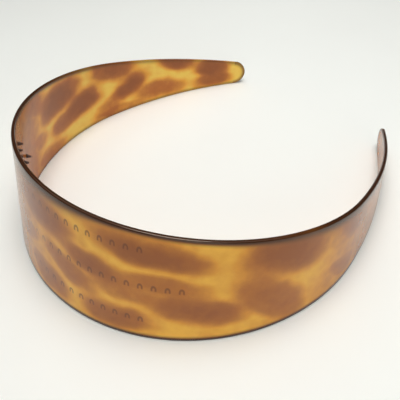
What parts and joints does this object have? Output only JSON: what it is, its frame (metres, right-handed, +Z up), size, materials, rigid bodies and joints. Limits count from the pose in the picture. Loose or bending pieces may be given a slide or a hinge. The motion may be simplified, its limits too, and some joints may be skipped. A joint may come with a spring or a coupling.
{
  "type": "headband",
  "caption": "Wide springy headband of mottled translucent plastic: a tapered C with rounded tips and rows of small teeth inside its crown.",
  "frame": {"origin": "on the ground, under the middle of the band's box, with the band lying on its lower rim", "axes": "+X to the band's right half, +Y from the crown towards the open tips, +Z up"},
  "size_m": [0.1378, 0.1451, 0.0448],
  "materials": {
    "band": "polished translucent tortoiseshell plastic, amber with soft brown patches",
    "teeth": "polished translucent brown plastic"
  },
  "bodies": {
    "left_side": {"band_left_half": "band", "upper_teeth_left": "teeth", "middle_teeth_left": "teeth", "lower_teeth_left": "teeth"},
    "right_side": {"band_right_half": "band", "upper_teeth_right": "teeth", "middle_teeth_right": "teeth", "lower_teeth_right": "teeth"}
  },
  "joints": [
    {"name": "spring_opening", "type": "hinge", "parent": "left_side", "child": "right_side", "pos_m": [0, -0.06824, 0.02261], "axis": [0, -0.1874, -0.9823], "range_deg": [0, 20], "stiffness_Nm_per_rad": 0.17}
  ]
}
